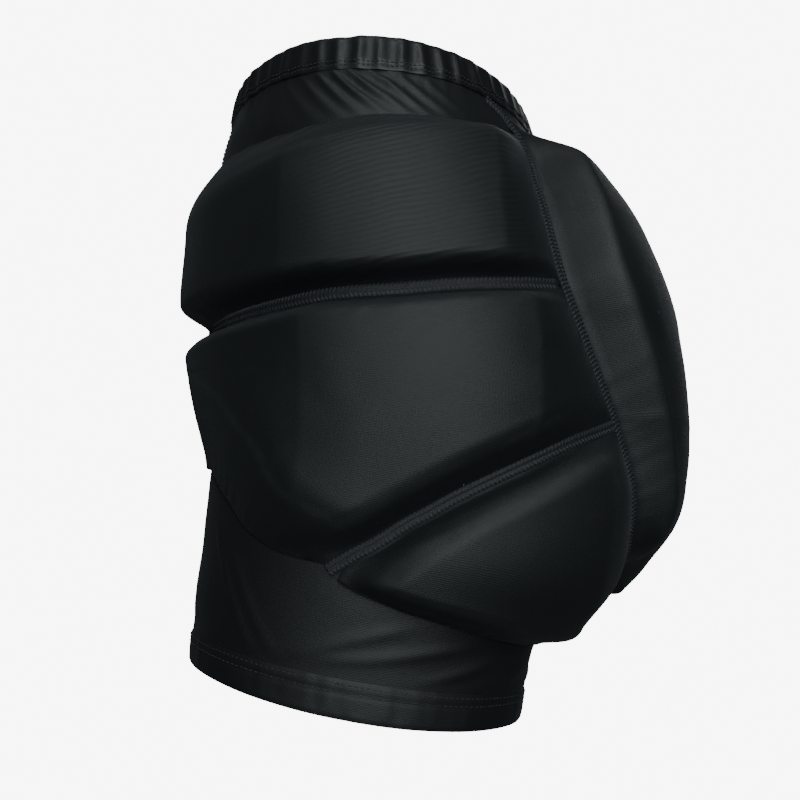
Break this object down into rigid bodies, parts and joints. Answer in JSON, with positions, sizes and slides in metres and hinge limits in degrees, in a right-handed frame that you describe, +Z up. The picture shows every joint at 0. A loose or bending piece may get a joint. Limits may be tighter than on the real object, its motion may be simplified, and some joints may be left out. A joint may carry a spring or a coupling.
{
  "type": "padded hip protection shorts",
  "caption": "Stretch shorts with thick sewn-in foam pads over the hips, outer thighs and seat, held in the shape they take when worn.",
  "frame": {"origin": "centre of the waist opening, on the waistband's top edge", "axes": "+Z up along the wearer's body, +X to the wearer's left, so the wearer faces -Y"},
  "size_m": [0.3858, 0.2848, 0.3542],
  "materials": {
    "cloth": "black stretch knit with a soft sheen",
    "pad_cover": "black stretch knit drawn smooth over foam",
    "elastic": "black gathered elastic casing",
    "seam_thread": "black flat overlocked seam"
  },
  "bodies": {
    "root": {"waistband": "elastic", "yoke_left": "cloth", "yoke_right": "cloth", "front_panel_left": "cloth", "front_panel_right": "cloth", "seat_panel_left": "cloth", "seat_panel_right": "cloth", "leg_panel_left": "cloth", "leg_panel_right": "cloth", "inner_leg_panel_left": "cloth", "inner_leg_panel_right": "cloth", "leg_hem_left": "cloth", "leg_hem_right": "cloth", "upper_hip_pad_left": "pad_cover", "upper_hip_pad_right": "pad_cover", "middle_hip_pad_left": "pad_cover", "middle_hip_pad_right": "pad_cover", "lower_hip_pad_left": "pad_cover", "lower_hip_pad_right": "pad_cover", "seat_pad_left": "pad_cover", "seat_pad_right": "pad_cover", "seat_seam_left": "seam_thread", "seat_seam_right": "seam_thread", "hip_seam_left": "seam_thread", "hip_seam_right": "seam_thread", "thigh_seam_left": "seam_thread", "thigh_seam_right": "seam_thread"}
  },
  "joints": []
}
